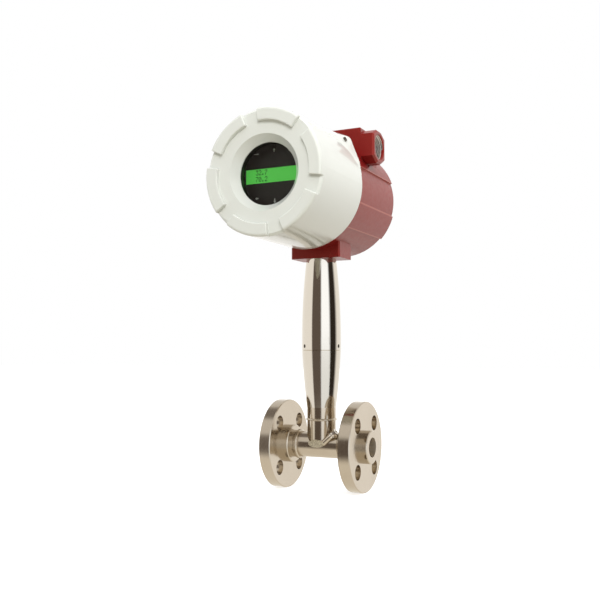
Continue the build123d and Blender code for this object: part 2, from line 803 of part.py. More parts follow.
write(in_head(rod_y(GLASS_D, glass_front, gasket_front)), "window_glass")
write(in_head(ring_y(GLASS_D, RETAINER_INNER_D, gasket_front, retainer_front)), "window_gasket")
retainer = ring_y(POCKET_D - 2 * FIT, RETAINER_INNER_D, retainer_front, retainer_end)
retainer -= Pos(0, retainer_end, 0) * Box(POCKET_D + 2, 2 * 1.5, 3)
write(in_head(retainer), "glass_retainer")

# Round seals of the two covers
rear_seal_y = BODY_BACK_Y - REAR_SEAL_SETBACK
write(in_head(seal_ring(NOSE_D + 2 * THREAD_CLEAR, FRONT_SEAL_Y)), "front_cover_seal")
write(in_head(seal_ring(MOUTH_D, rear_seal_y)), "rear_cover_seal")


# Rear cover: threaded skirt, domed face, wrench lugs
def make_rear_cover():
    flange = REAR_FLANGE_D / 2
    skirt = MOUTH_D / 2 - FIT
    inner = skirt - REAR_WALL
    seat = BODY_BACK_Y + COVER_GAP
    skirt_end = BODY_BACK_Y - REAR_SKIRT_L
    crown = seat + REAR_FLANGE_T
    cover = turned_y([
        (0, crown - REAR_WALL),
        (inner, crown - REAR_WALL),
        (inner, skirt_end),
        (skirt, skirt_end),
        (skirt, seat),
        (flange, seat),
        (flange, crown - 3),
        (flange - 3, crown),
        (0, crown + 2),
    ])
    lug = block(REAR_LUG_IN, REAR_LUG_OUT, crown - 1, crown + REAR_LUG_H,
                -REAR_LUG_W / 2, REAR_LUG_W / 2)
    lug = fillet(lug.faces().sort_by(Axis.Y)[-1].edges(), CAST_EDGE)
    for i in range(REAR_LUGS):
        cover += Rot(0, i * 360 / REAR_LUGS, 0) * lug
    cover -= seal_groove(2 * skirt, rear_seal_y)
    return in_head(cover)


write(make_rear_cover(), "rear_cover")

# Display stack
plate_back = PLATE_Y + PLATE_T
board_front = plate_back + LCD_BODY_T
button_places = {
    "button_exit": (-22.0, 30.0),
    "button_up": (0.0, 33.5),
    "button_enter": (22.0, 30.0),
    "button_left": (-22.0, -28.0),
    "button_down": (0.0, -31.5),
    "button_right": (22.0, -28.0),
}
flange_back = plate_back + BUTTON_FLANGE_T
switch_front = flange_back + BUTTON_REST_GAP
spacer_places = [(sx * SPACER_AT[0], sz * SPACER_AT[1]) for sx in (-1, 1) for sz in (-1, 1)]


def make_faceplate():
    plate = rod_y(PLATE_D, PLATE_Y, plate_back)
    plate -= block(-LCD_W / 2 - FIT, LCD_W / 2 + FIT, PLATE_Y - 1, plate_back + 1,
                   LCD_UP - LCD_H / 2 - FIT, LCD_UP + LCD_H / 2 + FIT)
    for x, z in button_places.values():
        plate -= rod_y(BUTTON_D + 2 * BUTTON_CLEAR, PLATE_Y - 1, plate_back + 1, x=x, z=z)
    return in_head(plate)


def make_lcd():
    body = block(-LCD_BODY_W / 2, LCD_BODY_W / 2, plate_back, board_front,
                 LCD_UP - LCD_BODY_H / 2, LCD_UP + LCD_BODY_H / 2)
    body += block(-LCD_W / 2, LCD_W / 2, PLATE_Y + LCD_SINK, plate_back,
                  LCD_UP - LCD_H / 2, LCD_UP + LCD_H / 2)
    return in_head(body)


def make_button(place):
    x, z = place
    front = PLATE_Y - BUTTON_PROUD
    button = rod_y(BUTTON_D, front, flange_back, x=x, z=z)
    button = fillet(button.faces().sort_by(Axis.Y)[0].edges(), BUTTON_ROUND)
    button += rod_y(BUTTON_FLANGE_D, plate_back + BUTTON_SEAT_GAP, flange_back, x=x, z=z)
    return in_head(button)


def make_display_board():
    board = rod_y(BOARD_D, board_front, board_front + BOARD_T)
    for x, z in button_places.values():
        board += block(x - SWITCH_W / 2, x + SWITCH_W / 2, switch_front, board_front,
                       z - SWITCH_W / 2, z + SWITCH_W / 2)
    return in_head(board)


def make_main_board():
    front = MAIN_BOARD_Y
    back = front + BOARD_T
    board = rod_y(BOARD_D, front, back)
    for x0, x1, height, z0, z1 in MAIN_PARTS:
        board += block(x0, x1, front - height, front, z0, z1)
    x0, x1, height, z0, z1 = MAIN_CONNECTOR
    board += block(x0, x1, back, back + height, z0, z1)
    return in_head(board)


def make_power_board():
    front = POWER_BOARD_Y
    back = front + BOARD_T
    board = rod_y(BOARD_D, front, back)
    for x0, x1, height, z0, z1 in POWER_PARTS:
        board += block(x0, x1, front - height, front, z0, z1)
    for x, z in CAPACITOR_AT:
        board += rod_y(CAPACITOR_D, front - CAPACITOR_L, front, x=x, z=z)
    return in_head(board)


def make_spacers():
    """Four stacks of round spacers between divider, boards and faceplate."""
    levels = [
        (plate_back, board_front),
        (board_front + BOARD_T, MAIN_BOARD_Y),
        (MAIN_BOARD_Y + BOARD_T, POWER_BOARD_Y),
        (POWER_BOARD_Y + BOARD_T, DIVIDER_Y),
    ]
    spacers = []
    for x, z in spacer_places:
        for y0, y1 in levels:
            spacers.append(in_head(rod_y(SPACER_D, y0, y1, x=x, z=z)))
    return Compound(children=spacers)


write(make_faceplate(), "faceplate")
write(make_lcd(), "lcd_module")
write(make_display_board(), "display_board")
write(make_main_board(), "main_board")
write(make_power_board(), "power_board")
write(make_spacers(), "board_spacers")
for name, place in button_places.items():
    write(make_button(place), name)


# Terminal block and its screws on the rear of the divider
def make_terminals():
    seat = DIVIDER_Y + DIVIDER_T
    end = seat + TERMINAL_T
    body = block(-TERMINAL_W / 2, TERMINAL_W / 2, seat, end,
                 TERMINAL_UP - TERMINAL_H / 2, TERMINAL_UP + TERMINAL_H / 2)
    pitch = TERMINAL_W / TERMINAL_COUNT
    screws = []
    for i in range(TERMINAL_COUNT):
        x = (i + 0.5) * pitch - TERMINAL_W / 2
        z = TERMINAL_UP + TERMINAL_H / 4
        low = end - TERMINAL_WELL_L
        body -= rod_y(TERMINAL_WELL_D, low, end + 1, x=x, z=z)
        body -= block(x - pitch * 0.3, x + pitch * 0.3, low - 2, end + 1,
                      TERMINAL_UP - TERMINAL_H / 2 - 1, TERMINAL_UP - 2)
        screw = rod_y(TERMINAL_SCREW_D, low, low + 2.4, x=x, z=z)
        screw -= Pos(x, low + 2.4, z) * Box(TERMINAL_SCREW_D + 1, 2, TERMINAL_SLOT)
        screws.append(in_head(screw))
    return in_head(body), Compound(children=screws)


terminal_body, terminal_screws = make_terminals()
write(terminal_body, "terminal_block")
write(terminal_screws, "terminal_screws")
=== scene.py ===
import json
import math

import bmesh
import bpy
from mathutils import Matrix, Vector


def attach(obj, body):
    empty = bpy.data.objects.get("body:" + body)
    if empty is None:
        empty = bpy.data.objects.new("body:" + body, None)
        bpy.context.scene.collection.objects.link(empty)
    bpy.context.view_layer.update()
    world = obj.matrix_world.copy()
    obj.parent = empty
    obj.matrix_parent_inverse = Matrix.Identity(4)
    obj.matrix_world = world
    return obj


# Vortex flow meter: materials, display marks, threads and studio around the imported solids.
# Metres. +X is the flow, -Y the display, +Z up.

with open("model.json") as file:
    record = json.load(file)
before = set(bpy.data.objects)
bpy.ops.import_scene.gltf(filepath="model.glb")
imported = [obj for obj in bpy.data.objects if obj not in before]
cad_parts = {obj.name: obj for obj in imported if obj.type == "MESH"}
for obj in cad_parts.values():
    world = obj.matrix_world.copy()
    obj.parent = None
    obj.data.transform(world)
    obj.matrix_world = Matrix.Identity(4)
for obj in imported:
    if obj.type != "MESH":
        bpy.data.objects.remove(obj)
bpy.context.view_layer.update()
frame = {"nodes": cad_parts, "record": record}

MM = 0.001
POST_X = 58.5 * MM
AXIS_Z = 271.3 * MM
PLATE_Y = -109.0 * MM
LCD_FRONT_Y = PLATE_Y + 0.4 * MM
FLOOR_Z = -47.6 * MM
HUB_Y = -1.3 * MM
HUB_Z = AXIS_Z + 46.2 * MM
HUB_END = 68.9 * MM
THREAD_R = 13.0 * MM
THREAD_L = 22.6 * MM
THREAD_PITCH = 1.81 * MM
THREAD_DEEP = 0.95 * MM
THREAD_START = 1.2 * MM
THREAD_OFF = 0.02 * MM
PATCH_LONG = 19.0 * MM
PATCH_TALL = 8.2 * MM
PATCH_Z = 2.55 * MM
PATCH_FROM_Y = 13.0 * MM
FLOW_BORE_R = 10.5 * MM
BEAD_FROM_R = 15.6 * MM
BEAD_TOP_Z = 29.0 * MM
BARREL_R = 62.3 * MM
LEDGE_DEEP = 1.9 * MM
LEDGE_ANGLES = (19.0, -16.5, -43.2)


# Node tree helper
class Surface:
    """A material with a Principled shader and short calls for its nodes."""

    def __init__(self, name, base, rough, metal=0.0):
        self.material = bpy.data.materials.new(name)
        self.material.use_nodes = True
        self.tree = self.material.node_tree
        self.shader = self.tree.nodes["Principled BSDF"]
        self.set("Base Color", (*base, 1.0))
        self.set("Roughness", rough)
        self.set("Metallic", metal)
        coordinates = self.tree.nodes.new("ShaderNodeTexCoord")
        self.position = coordinates.outputs["Object"]

    def set(self, socket, value):
        self.shader.inputs[socket].default_value = value

    def link(self, output, socket):
        self.tree.links.new(output, self.shader.inputs[socket])

    def feed(self, node, index, value):
        if value is None:
            return
        if isinstance(value, bpy.types.NodeSocket):
            self.tree.links.new(value, node.inputs[index])
        else:
            node.inputs[index].default_value = value

    def math(self, operation, a, b=None):
        node = self.tree.nodes.new("ShaderNodeMath")
        node.operation = operation
        for index, value in enumerate((a, b)):
            self.feed(node, index, value)
        return node.outputs[0]

    def split(self, vector):
        node = self.tree.nodes.new("ShaderNodeSeparateXYZ")
        self.feed(node, 0, vector)
        return node.outputs

    def join(self, x, y, z):
        node = self.tree.nodes.new("ShaderNodeCombineXYZ")
        for index, value in enumerate((x, y, z)):
            self.feed(node, index, value)
        return node.outputs[0]

    def noise(self, vector, scale, detail=3.0, rough=0.55):
        node = self.tree.nodes.new("ShaderNodeTexNoise")
        self.feed(node, "Vector", vector)
        node.inputs["Scale"].default_value = scale
        node.inputs["Detail"].default_value = detail
        node.inputs["Roughness"].default_value = rough
        return node.outputs["Fac"]

    def remap(self, value, low, high, to_low, to_high):
        node = self.tree.nodes.new("ShaderNodeMapRange")
        for index, number in enumerate((value, low, high, to_low, to_high)):
            self.feed(node, index, number)
        return node.outputs[0]

    def blend(self, factor, first, second):
        node = self.tree.nodes.new("ShaderNodeMix")
        node.data_type = "RGBA"
        self.feed(node, "Factor", factor)
        for socket, value in (("A", first), ("B", second)):
            target = [s for s in node.inputs if s.name == socket and s.type == "RGBA"][0]
            if isinstance(value, bpy.types.NodeSocket):
                self.tree.links.new(value, target)
            else:
                target.default_value = (*value, 1.0)
        return [s for s in node.outputs if s.type == "RGBA"][0]

    def bump(self, height, strength, distance):
        node = self.tree.nodes.new("ShaderNodeBump")
        self.feed(node, "Height", height)
        node.inputs["Strength"].default_value = strength
        node.inputs["Distance"].default_value = distance
        self.link(node.outputs[0], "Normal")

    def fed_by(self, socket):
        """The output that is linked to a socket of the shader."""
        return self.shader.inputs[socket].links[0].from_socket

    def about(self, axis, x=0.0, y=0.0, z=0.0):
        """Radius, angle and height of a point about a line along the axis through x, y, z."""
        px, py, pz = self.split(self.position)
        px = self.math("SUBTRACT", px, x)
        py = self.math("SUBTRACT", py, y)
        pz = self.math("SUBTRACT", pz, z)
        along, a, b = {"X": (px, py, pz), "Y": (py, px, pz), "Z": (pz, px, py)}[axis]
        squares = self.math("ADD", self.math("MULTIPLY", a, a), self.math("MULTIPLY", b, b))
        radius = self.math("SQRT", squares)
        angle = self.math("ARCTAN2", b, a)
        return radius, angle, along


# Steel turned about an axis: fine rings in roughness, tint and bump
def turned_steel(name, base, dark, rough, axis, centre, ring_scale, ring_depth, spread=0.05):
    s = Surface(name, base, rough, 1.0)
    radius, angle, along = s.about(axis, *centre)
    rings = s.join(s.math("MULTIPLY", radius, ring_scale), s.math("MULTIPLY", angle, 0.35),
                   s.math("MULTIPLY", along, ring_scale))
    fine = s.noise(rings, 1.0, 2.0)
    broad = s.noise(s.position, 24.0, 3.0)
    s.link(s.blend(s.remap(broad, 0.30, 0.75, 0.0, 1.0), base, dark), "Base Color")
    s.link(s.remap(fine, 0.30, 0.70, rough - spread, rough + spread), "Roughness")
    s.bump(fine, ring_depth, 0.00008)
    return s


WARM = (0.570, 0.500, 0.405)
WARM_DARK = (0.520, 0.450, 0.355)


def flange_steel():
    """Turned flange, with a duller and paler bore."""
    s = turned_steel("flange_steel", WARM, WARM_DARK, 0.17, "X", (0, 0, 0), 5200.0, 0.10)
    radius, angle, along = s.about("X")
    bore = s.math("LESS_THAN", radius, FLOW_BORE_R)
    base = s.fed_by("Base Color")
    rough = s.fed_by("Roughness")
    s.link(s.blend(bore, base, (0.80, 0.72, 0.60)), "Base Color")
    s.link(s.math("ADD", rough, s.math("MULTIPLY", bore, 0.32)), "Roughness")
    return s.material


def tube_steel():
    """Flow tube: turned pipe with pale ground patches where the neck is welded on."""
    s = turned_steel("tube_steel", WARM, WARM_DARK, 0.15, "X", (0, 0, 0), 3600.0, 0.06)
    x, y, z = s.split(s.position)
    off = s.math("DIVIDE", s.math("SUBTRACT", x, POST_X), PATCH_LONG / 2)
    up = s.math("DIVIDE", s.math("SUBTRACT", z, PATCH_Z), PATCH_TALL / 2)
    oval = s.math("ADD", s.math("POWER", off, 2.0), s.math("POWER", up, 2.0))
    outside = s.math("GREATER_THAN", s.math("ABSOLUTE", y), PATCH_FROM_Y)
    patch = s.math("MULTIPLY", s.remap(oval, 0.97, 1.03, 1.0, 0.0), outside)
    base = s.fed_by("Base Color")
    rough = s.fed_by("Roughness")
    speckle = s.blend(s.remap(s.noise(s.position, 900.0, 3.0), 0.35, 0.65, 0.0, 1.0),
                      (0.50, 0.44, 0.31), (0.86, 0.79, 0.62))
    s.link(s.blend(patch, base, speckle), "Base Color")
    s.link(s.math("ADD", rough, s.math("MULTIPLY", patch, 0.42)), "Roughness")
    grain = s.math("MULTIPLY", s.noise(s.position, 1500.0, 3.0), patch)
    s.bump(grain, 0.6, 0.0004)
    return s.material


def neck_steel():
    """Neck: brushed round, with ripples on the weld bead."""
    s = turned_steel("neck_steel", (0.56, 0.485, 0.385), (0.50, 0.425, 0.33), 0.15, "Z",
                     (POST_X, 0, 0), 3400.0, 0.06)
    radius, angle, along = s.about("Z", POST_X, 0, 0)
    bead = s.math("MULTIPLY", s.math("GREATER_THAN", radius, BEAD_FROM_R),
                  s.math("LESS_THAN", along, BEAD_TOP_Z))
    ripple = s.math("MULTIPLY", s.math("SINE", s.math("MULTIPLY", angle, 74.0)), bead)
    s.bump(ripple, 0.35, 0.0002)
    base = s.fed_by("Base Color")
    s.link(s.blend(s.math("MULTIPLY", bead, 0.7), base, (0.84, 0.76, 0.63)), "Base Color")
    return s.material


def post_steel(name, base, dark, rough):
    s = turned_steel(name, base, dark, rough, "Z", (POST_X, 0, 0), 2600.0, 0.03, 0.02)
    return s.material


def plain_steel(name, base, rough, metal=1.0):
    s = Surface(name, base, rough, metal)
    dark = tuple(0.84 * c for c in base)
    s.link(s.blend(s.remap(s.noise(s.position, 160.0, 4.0), 0.35, 0.68, 0.0, 1.0), base, dark),
           "Base Color")
    s.link(s.remap(s.noise(s.position, 620.0, 3.0), 0.3, 0.7, rough - 0.04, rough + 0.05),
           "Roughness")
    s.bump(s.noise(s.position, 900.0, 2.0), 0.05, 0.0001)
    return s.material


# Gloss paint on a casting: a little orange peel and faint mottling
def cast_paint(name, base, low, rough, peel, gloss):
    s = Surface(name, base, rough)
    s.set("Coat Weight", gloss)
    s.set("Coat Roughness", 0.11)
    s.set("Coat IOR", 1.5)
    s.set("Specular IOR Level", 0.35)
    broad = s.noise(s.position, 18.0, 3.0)
    s.link(s.blend(s.remap(broad, 0.35, 0.68, 0.0, 1.0), base, low), "Base Color")
    s.link(s.remap(s.noise(s.position, 240.0, 3.0), 0.3, 0.7, rough - 0.04, rough + 0.05),
           "Roughness")
    waves = s.noise(s.position, 420.0, 2.0, 0.4)
    casting = s.noise(s.position, 55.0, 3.0)
    height = s.math("ADD", s.math("MULTIPLY", waves, 0.25), s.math("MULTIPLY", casting, 0.7))
    s.bump(height, peel, 0.0005)
    return s


def red_paint():
    """Dark red, with a painted highlight: paler red along the ledges of the barrel's panels, where they
    catch the light.
    """
    s = cast_paint("red_casting_paint", (0.222, 0.0090, 0.0100), (0.200, 0.0072, 0.0080),
                   0.34, 0.02, 0.05)
    s.set("Specular IOR Level", 1.0)
    s.set("Specular Tint", (1.0, 0.40, 0.28, 1.0))
    radius, angle, along = s.about("Y", POST_X, 0, AXIS_Z)
    # Painted highlight: a paler red line along each ledge of the barrel, standing in for the light that
    # the ledge catches.
    ledge_highlight = 0.0
    for degrees in LEDGE_ANGLES:
        off = s.math("ABSOLUTE", s.math("SUBTRACT", angle, math.radians(degrees)))
        ledge_highlight = s.math("ADD", s.remap(off, 0.010, 0.022, 1.0, 0.0), ledge_highlight)
    shell = s.math("GREATER_THAN", radius, BARREL_R - LEDGE_DEEP)
    barrel = s.math("MULTIPLY", shell, s.math("LESS_THAN", radius, BARREL_R + 0.1 * MM))
    base = s.fed_by("Base Color")
    line = s.math("MULTIPLY", s.math("MULTIPLY", ledge_highlight, barrel), 0.6)
    s.link(s.blend(line, base, (0.50, 0.16, 0.13)), "Base Color")
    return s.material


def white_paint():
    s = cast_paint("white_cover_paint", (0.745, 0.760, 0.715), (0.730, 0.745, 0.698),
                   0.34, 0.03, 1.0)
    return s.material


def glass():
    s = Surface("window_glass", (0.93, 0.97, 0.955), 0.02)
    s.set("Transmission Weight", 1.0)
    s.set("IOR", 1.47)
    haze = s.noise(s.position, 45.0, 3.0)
    s.link(s.remap(haze, 0.3, 0.75, 0.006, 0.02), "Roughness")
    return s.material


def rubber():
    s = Surface("seal_rubber", (0.018, 0.018, 0.018), 0.62)
    grain = s.noise(s.position, 1400.0, 3.0)
    s.link(s.blend(grain, (0.014, 0.014, 0.014), (0.030, 0.029, 0.028)), "Base Color")
    s.bump(grain, 0.12, 0.0001)
    return s.material


def face_black():
    s = Surface("faceplate_black", (0.016, 0.012, 0.011), 0.42)
    grain = s.noise(s.position, 1900.0, 2.0)
    s.link(s.blend(s.noise(s.position, 30.0, 3.0), (0.017, 0.012, 0.011), (0.011, 0.009, 0.009)),
           "Base Color")
    s.bump(grain, 0.06, 0.00005)
    return s.material


def cap_black():
    s = Surface("button_black", (0.014, 0.011, 0.010), 0.50)
    s.link(s.blend(s.noise(s.position, 500.0, 2.0), (0.012, 0.010, 0.009), (0.019, 0.015, 0.014)),
           "Base Color")
    s.bump(s.noise(s.position, 1600.0, 2.0), 0.10, 0.00005)
    return s.material


def lcd_green():
    """Display: a fine cell grid over an even green with a faint random tone. It glows as painted light,
    standing in for the lamp light that the window glass keeps off it.
    """
    s = Surface("lcd_green", (0.075, 0.46, 0.065), 0.30)
    x, y, z = s.split(s.position)
    cells_x = s.math("SINE", s.math("MULTIPLY", x, 2 * math.pi / (0.62 * MM)))
    cells_z = s.math("SINE", s.math("MULTIPLY", z, 2 * math.pi / (0.72 * MM)))
    grid = s.remap(s.math("MULTIPLY", cells_x, cells_z), -1.0, 1.0, 0.0, 0.22)
    tone = s.blend(s.noise(s.position, 40.0, 2.0), (0.085, 0.50, 0.07), (0.065, 0.43, 0.055))
    colour = s.blend(grid, tone, (0.05, 0.36, 0.04))
    s.link(colour, "Base Color")
    # Painted light: the glow makes up for the lamp light that the glass in front keeps off the display.
    s.link(colour, "Emission Color")
    s.set("Emission Strength", 0.80)
    return s.material


def board_green():
    s = Surface("board_green", (0.012, 0.11, 0.045), 0.38)
    x, y, z = s.split(s.position)
    tracks = s.noise(s.join(s.math("MULTIPLY", x, 900.0), 0.0, s.math("MULTIPLY", z, 160.0)), 1.0, 2.0)
    s.link(s.blend(s.remap(tracks, 0.55, 0.60, 0.0, 0.5), (0.012, 0.11, 0.045), (0.05, 0.22, 0.09)),
           "Base Color")
    s.bump(tracks, 0.1, 0.00008)
    return s.material


def flat_mark(name, colour, rough):
    s = Surface(name, colour, rough)
    paler = tuple(min(1.0, 1.12 * c) for c in colour)
    s.link(s.blend(s.noise(s.position, 1200.0, 2.0), colour, paler), "Base Color")
    return s.material


finishes = {
    "machined_steel": flange_steel(),
    "inner_steel": plain_steel("inner_steel", (0.52, 0.49, 0.44), 0.34),
    "fitting_steel": plain_steel("fitting_steel", (0.80, 0.74, 0.66), 0.20),
    "screw_steel": plain_steel("screw_steel", (0.20, 0.18, 0.16), 0.38),
    "red_paint": red_paint(),
    "white_paint": white_paint(),
    "window_glass": glass(),
    "seal_rubber": rubber(),
    "retainer_steel": plain_steel("retainer_steel", (0.06, 0.06, 0.058), 0.45),
    "black_plate": face_black(),
    "lcd": lcd_green(),
    "board": board_green(),
    "spacer_brass": plain_steel("spacer_brass", (0.62, 0.46, 0.20), 0.30),
    "button_plastic": cap_black(),
    "terminal_plastic": plain_steel("terminal_black", (0.03, 0.03, 0.03), 0.50, 0.0),
    "lead_jacket": plain_steel("lead_jacket", (0.04, 0.04, 0.04), 0.55, 0.0),
    "potting": plain_steel("potting", (0.09, 0.08, 0.07), 0.60, 0.0),
}
finishes["rear_red_paint"] = finishes["red_paint"]
node_finishes = {
    "flow_tube": tube_steel(),
    "sensor_neck": neck_steel(),
    "lower_post": post_steel("lower_post_steel", (0.65, 0.60, 0.52), (0.63, 0.58, 0.50), 0.11),
    "upper_post": post_steel("upper_post_steel", (0.66, 0.61, 0.53), (0.64, 0.59, 0.51), 0.08),
}

slots = {entry["node"]: entry["material_slot"] for entry in frame["record"]["subparts"]}
for node, piece in frame["nodes"].items():
    material = node_finishes.get(node) or finishes[slots[node]]
    for slot in piece.material_slots:
        slot.material = material


# Pieces made here
def new_piece(name, bm, material, body):
    mesh = bpy.data.meshes.new(name)
    bmesh.ops.recalc_face_normals(bm, faces=bm.faces)
    bm.to_mesh(mesh)
    bm.free()
    piece = bpy.data.objects.new(name, mesh)
    bpy.context.scene.collection.objects.link(piece)
    mesh.materials.append(material)
    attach(piece, body)


# Plain digits on the display, five by seven dots each
DIGITS = {
    "0": (14, 17, 19, 21, 25, 17, 14),
    "2": (14, 17, 1, 2, 4, 8, 31),
    "3": (31, 2, 4, 2, 1, 17, 14),
    "7": (31, 1, 2, 4, 8, 8, 8),
    ".": (0, 0, 0, 0, 0, 12, 12),
}
DIGIT_ROWS = ("32.7", "70.2")
DIGITS_LEFT = -20.6 * MM
DIGITS_TOP = 7.5 * MM
ROW_STEP = 6.6 * MM
CHAR_STEP = 3.35 * MM
DOT_W = 0.56 * MM
DOT_H = 0.69 * MM
DOT_STEP_X = 0.58 * MM
DOT_STEP_Z = 0.71 * MM
MARK_T = 0.04 * MM
MARK_OFF = 0.01 * MM
# Across, up, turn and stem of each arrow, then the two short bars, in mm from the window's middle
ARROWS = ((0.0, 26.0, 0, 1.8), (0.8, -24.6, 180, 2.6), (-19.0, -20.6, 90, 1.8), (19.0, -20.6, -90, 1.8))
BARS = ((-20.0, 23.7), (18.5, 23.7))
BAR_W = 5.2
BAR_H = 0.9


def add_slab(bm, points, y, thickness):
    """Flat outline of (x, z) points in front of the plane y."""
    back = [bm.verts.new((x, y, z)) for x, z in points]
    front = [bm.verts.new((x, y - thickness, z)) for x, z in points]
    bm.faces.new(back)
    bm.faces.new(front)
    count = len(points)
    for i in range(count):
        j = (i + 1) % count
        bm.faces.new((back[i], back[j], front[j], front[i]))


def make_digits():
    bm = bmesh.new()
    for row, text in enumerate(DIGIT_ROWS):
        top = AXIS_Z + DIGITS_TOP - row * ROW_STEP
        for place, char in enumerate(text):
            left = POST_X + DIGITS_LEFT + place * CHAR_STEP
            for line, bits in enumerate(DIGITS[char]):
                for column in range(5):
                    if bits >> (4 - column) & 1:
                        x = left + column * DOT_STEP_X
                        z = top - line * DOT_STEP_Z
                        corners = [(x, z), (x + DOT_W, z), (x + DOT_W, z - DOT_H), (x, z - DOT_H)]
                        add_slab(bm, corners, LCD_FRONT_Y - MARK_OFF, MARK_T)
    ink = flat_mark("lcd_ink", (0.004, 0.040, 0.005), 0.4)
    new_piece("lcd_digits", bm, ink, "meter")


# Arrows and small key marks printed on the faceplate
def on_plate(x, z):
    """Point across and up from the window's middle, given in mm."""
    return POST_X + x * MM, AXIS_Z + z * MM


def arrow(x, z, turn, stem):
    """Outline of an arrow that points up before it is turned."""
    shape = [(-1.5, 0.0), (0.0, 2.0), (1.5, 0.0),
             (0.55, 0.0), (0.55, -stem), (-0.55, -stem), (-0.55, 0.0)]
    c = math.cos(math.radians(turn))
    s = math.sin(math.radians(turn))
    return [on_plate(x + a * c - b * s, z + a * s + b * c) for a, b in shape]


def make_marks():
    bm = bmesh.new()
    y = PLATE_Y - MARK_OFF
    for place in ARROWS:
        add_slab(bm, arrow(*place), y, MARK_T)
    for x, z in BARS:
        corners = [on_plate(x + a * BAR_W / 2, z + b * BAR_H / 2)
                   for a, b in ((-1, -1), (1, -1), (1, 1), (-1, 1))]
        add_slab(bm, corners, y, MARK_T)
    ink = flat_mark("mark_ink", (0.72, 0.70, 0.66), 0.5)
    new_piece("key_marks", bm, ink, "meter")


# Conduit threads: a helical ridge on the bore wall
def make_thread(name, side, material):
    bm = bmesh.new()
    around = 64
    last = int(THREAD_L / THREAD_PITCH * around) - around
    run_out = 0.6 * around
    profile = [(0.0, 0.0), (0.40, THREAD_DEEP), (0.60, THREAD_DEEP), (0.999, 0.0)]
    outer_end = POST_X + side * (HUB_END - THREAD_START)
    previous = None
    for step in range(last + 1):
        angle = 2 * math.pi * step / around
        advance = THREAD_PITCH * step / around
        fade = min(1.0, step / run_out, (last - step) / run_out)
        ring = []
        for along, height in profile:
            x = outer_end - side * (advance + along * THREAD_PITCH)
            radius = THREAD_R - THREAD_OFF - height * fade
            ring.append(bm.verts.new((x, HUB_Y + radius * math.cos(angle) * side,
                                      HUB_Z + radius * math.sin(angle))))
        if previous:
            for i in range(len(profile) - 1):
                bm.faces.new((previous[i], previous[i + 1], ring[i + 1], ring[i]))
            bm.faces.new((previous[-1], previous[0], ring[0], ring[-1]))
        else:
            bm.faces.new(ring)
        previous = ring
    bm.faces.new(previous)
    new_piece(name, bm, material, "meter")


thread_steel = plain_steel("thread_steel", (0.80, 0.75, 0.70), 0.42)
make_digits()
make_marks()
make_thread("conduit_thread_right", 1, thread_steel)
make_thread("conduit_thread_left", -1, thread_steel)

# Camera
camera_data = bpy.data.cameras.new("camera")
camera = bpy.data.objects.new("camera", camera_data)
bpy.context.scene.collection.objects.link(camera)
camera_data.sensor_width = 36.0
camera_data.lens = 48.55
camera_data.clip_start = 0.01
camera_data.clip_end = 50.0
camera.location = (0.4235, -0.8026, 0.1003)
camera.rotation_euler = (math.radians(93.645), 0.0, math.radians(25.974))
bpy.context.scene.camera = camera


# Floor: pale, and white to the camera where nothing shades it
def make_floor():
    bm = bmesh.new()
    half = 6.0
    corners = [(-half, -half), (half, -half), (half, half), (-half, half)]
    bm.faces.new([bm.verts.new((x, y, FLOOR_Z)) for x, y in corners])
    mesh = bpy.data.meshes.new("floor")
    bm.to_mesh(mesh)
    bm.free()
    floor = bpy.data.objects.new("floor", mesh)
    bpy.context.scene.collection.objects.link(floor)
    material = bpy.data.materials.new("floor_pale")
    material.use_nodes = True
    tree = material.node_tree
    tree.nodes.clear()
    out = tree.nodes.new("ShaderNodeOutputMaterial")
    plain = tree.nodes.new("ShaderNodeBsdfDiffuse")
    plain.inputs["Color"].default_value = (0.42, 0.39, 0.32, 1.0)
    shown = tree.nodes.new("ShaderNodeBsdfDiffuse")
    shown.inputs["Color"].default_value = (0.80, 0.80, 0.80, 1.0)
    glow = tree.nodes.new("ShaderNodeEmission")
    glow.inputs["Strength"].default_value = 0.62
    both = tree.nodes.new("ShaderNodeAddShader")
    path = tree.nodes.new("ShaderNodeLightPath")
    pick = tree.nodes.new("ShaderNodeMixShader")
    tree.links.new(shown.outputs[0], both.inputs[0])
    tree.links.new(glow.outputs[0], both.inputs[1])
    tree.links.new(path.outputs["Is Camera Ray"], pick.inputs[0])
    tree.links.new(plain.outputs[0], pick.inputs[1])
    tree.links.new(both.outputs[0], pick.inputs[2])
    tree.links.new(pick.outputs[0], out.inputs[0])
    mesh.materials.append(material)
    floor.visible_glossy = False


make_floor()


